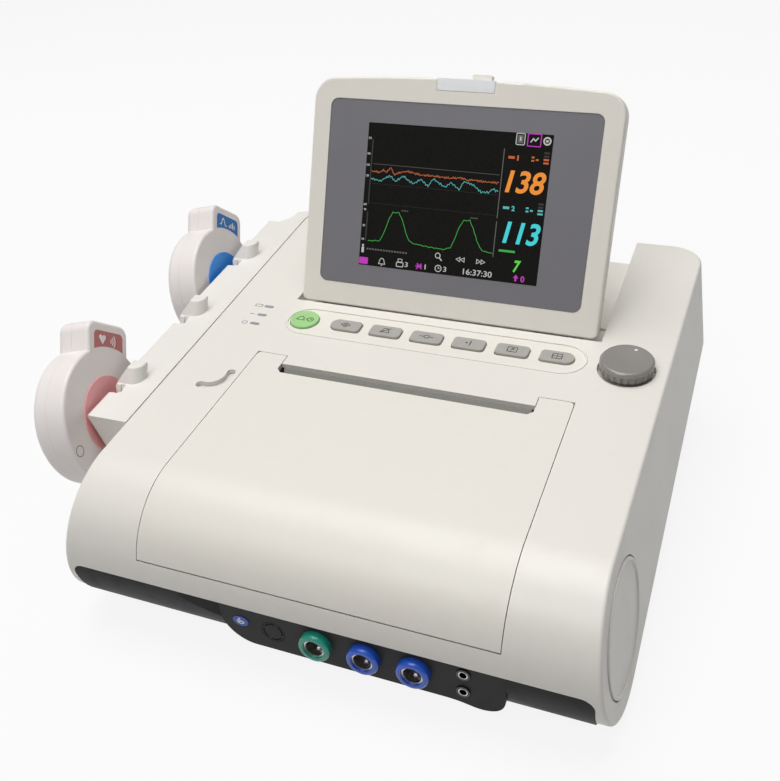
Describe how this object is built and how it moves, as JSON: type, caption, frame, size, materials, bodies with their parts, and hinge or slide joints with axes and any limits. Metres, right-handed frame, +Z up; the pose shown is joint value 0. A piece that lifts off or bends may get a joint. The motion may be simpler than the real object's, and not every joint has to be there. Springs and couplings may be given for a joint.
{
  "type": "cardiotocograph",
  "caption": "Desk-top fetal monitor with a folding display, keys and a knob, a chart printer under a hinged door, and a side rail that holds transducers.",
  "frame": {"origin": "on the desk under the centre of the monitor's body, 2.5 mm under its flat underside", "axes": "+X to the user's right, +Y to the back, +Z up"},
  "size_m": [0.3554, 0.3316, 0.2452],
  "materials": {
    "housing_white": "fine moulded grain",
    "door_white": "fine moulded grain",
    "base_charcoal": "moulded grain",
    "foot_rubber": "matt",
    "screw_steel": "bright",
    "battery_case": "matt",
    "board_green": "satin",
    "can_metal": "satin",
    "frame_white": "fine moulded grain",
    "window_grey": "satin",
    "panel_dark": "smooth",
    "lamp_blue": "clear",
    "tray_grey": "matt",
    "paper": "matt paper",
    "gear_white": "satin",
    "panel_white": "smooth film",
    "key_green": "soft",
    "key_grey": "soft",
    "knob_grey": "matt",
    "socket_green": "satin",
    "socket_blue": "satin",
    "rail_white": "fine moulded grain",
    "transducer_white": "smooth",
    "disc_red": "satin",
    "disc_blue": "satin"
  },
  "bodies": {
    "monitor_body": {"upper_housing": "housing_white", "end_caps": "housing_white", "base_housing": "base_charcoal", "connector_panel": "base_charcoal", "rear_panel": "base_charcoal", "rubber_feet": "foot_rubber", "base_screws": "screw_steel", "battery_door": "base_charcoal", "battery_pack": "battery_case", "main_board": "board_green", "power_supply": "can_metal", "speaker": "battery_case", "mains_inlet": "battery_case", "earth_stud": "screw_steel", "network_port": "can_metal", "display_hinge_pins": "screw_steel", "hinge_brackets": "screw_steel", "paper_tray": "tray_grey", "paper_pack": "paper", "printer_motor": "can_metal", "print_head": "can_metal", "tear_bar": "screw_steel", "key_panel": "panel_white", "keypad_board": "board_green", "encoder_body": "battery_case", "status_lights": "lamp_blue", "green_collar": "socket_green", "blue_collars": "socket_blue", "socket_shells": "can_metal", "socket_inserts": "battery_case", "audio_jacks": "can_metal", "blank_plug": "base_charcoal", "badge": "socket_blue", "transducer_rail": "rail_white"},
    "display": {"display_front": "frame_white", "display_back": "frame_white", "display_window": "window_grey", "lcd_panel": "panel_dark", "alarm_lamp": "lamp_blue"},
    "door": {"printer_door": "door_white", "door_hinge_pins": "screw_steel"},
    "release": {"door_release": "door_white"},
    "platen": {"platen_roller": "foot_rubber", "platen_gear": "gear_white"},
    "motor_gear": {"drive_gear": "gear_white"},
    "shaft": {"encoder_shaft": "screw_steel"},
    "knob": {"encoder_knob": "knob_grey"},
    "start_button": {"start_key": "key_green"},
    "ultrasound_transducer": {"ultrasound_front_shell": "transducer_white", "ultrasound_back_shell": "transducer_white", "ultrasound_button": "disc_red"},
    "pressure_transducer": {"pressure_front_shell": "transducer_white", "pressure_back_shell": "transducer_white", "pressure_button": "disc_blue"},
    "button_1": {"function_key_1": "key_grey"},
    "button_2": {"function_key_2": "key_grey"},
    "button_3": {"function_key_3": "key_grey"},
    "button_4": {"function_key_4": "key_grey"},
    "button_5": {"function_key_5": "key_grey"},
    "button_6": {"function_key_6": "key_grey"}
  },
  "joints": [
    {"name": "display_tilt", "type": "hinge", "parent": "monitor_body", "child": "display", "pos_m": [0, 0.05233, 0.10798], "axis": [1, 0, 0], "range_deg": [-69.5, 15]},
    {"name": "door_hinge", "type": "hinge", "parent": "monitor_body", "child": "door", "pos_m": [0, -0.16124, 0.0614], "axis": [1, 0, 0], "range_deg": [0, 70]},
    {"name": "release_slide", "type": "slide", "parent": "monitor_body", "child": "release", "axis": [-1, 0, 0], "range_m": [0, 0.002], "stiffness_N_per_m": 600},
    {"name": "platen_turn", "type": "hinge", "parent": "monitor_body", "child": "platen", "pos_m": [0.083, -0.042, 0.0909], "axis": [1, 0, 0], "continuous": true},
    {"name": "motor_gear_turn", "type": "hinge", "parent": "monitor_body", "child": "motor_gear", "pos_m": [0.083, -0.042, 0.0748], "axis": [1, 0, 0], "continuous": true},
    {"name": "knob_turn", "type": "hinge", "parent": "monitor_body", "child": "shaft", "pos_m": [0.1177, 0.0173, 0.10807], "axis": [0, -0.0958, 0.9954], "continuous": true},
    {"name": "knob_push", "type": "slide", "parent": "shaft", "child": "knob", "axis": [0, 0.0958, -0.9954], "range_m": [0, 0.0008], "stiffness_N_per_m": 1500},
    {"name": "start_push", "type": "slide", "parent": "monitor_body", "child": "start_button", "axis": [0, 0.0958, -0.9954], "range_m": [0, 0.0009], "stiffness_N_per_m": 1200},
    {"name": "key_1_push", "type": "slide", "parent": "monitor_body", "child": "button_1", "axis": [0, 0.0958, -0.9954], "range_m": [0, 0.0009], "stiffness_N_per_m": 1200},
    {"name": "key_2_push", "type": "slide", "parent": "monitor_body", "child": "button_2", "axis": [0, 0.0958, -0.9954], "range_m": [0, 0.0009], "stiffness_N_per_m": 1200},
    {"name": "key_3_push", "type": "slide", "parent": "monitor_body", "child": "button_3", "axis": [0, 0.0958, -0.9954], "range_m": [0, 0.0009], "stiffness_N_per_m": 1200},
    {"name": "key_4_push", "type": "slide", "parent": "monitor_body", "child": "button_4", "axis": [0, 0.0958, -0.9954], "range_m": [0, 0.0009], "stiffness_N_per_m": 1200},
    {"name": "key_5_push", "type": "slide", "parent": "monitor_body", "child": "button_5", "axis": [0, 0.0958, -0.9954], "range_m": [0, 0.0009], "stiffness_N_per_m": 1200},
    {"name": "key_6_push", "type": "slide", "parent": "monitor_body", "child": "button_6", "axis": [0, 0.0958, -0.9954], "range_m": [0, 0.0009], "stiffness_N_per_m": 1200},
    {"name": "ultrasound_lift", "type": "slide", "parent": "monitor_body", "child": "ultrasound_transducer", "axis": [-0.2455, 0.4209, 0.8733], "range_m": [0, 0.06]},
    {"name": "pressure_lift", "type": "slide", "parent": "monitor_body", "child": "pressure_transducer", "axis": [-0.2215, 0.4319, 0.8743], "range_m": [0, 0.06]}
  ],
  "couplings": [
    {"joint": "motor_gear_turn", "follows": "platen_turn", "ratio": -0.66667}
  ]
}
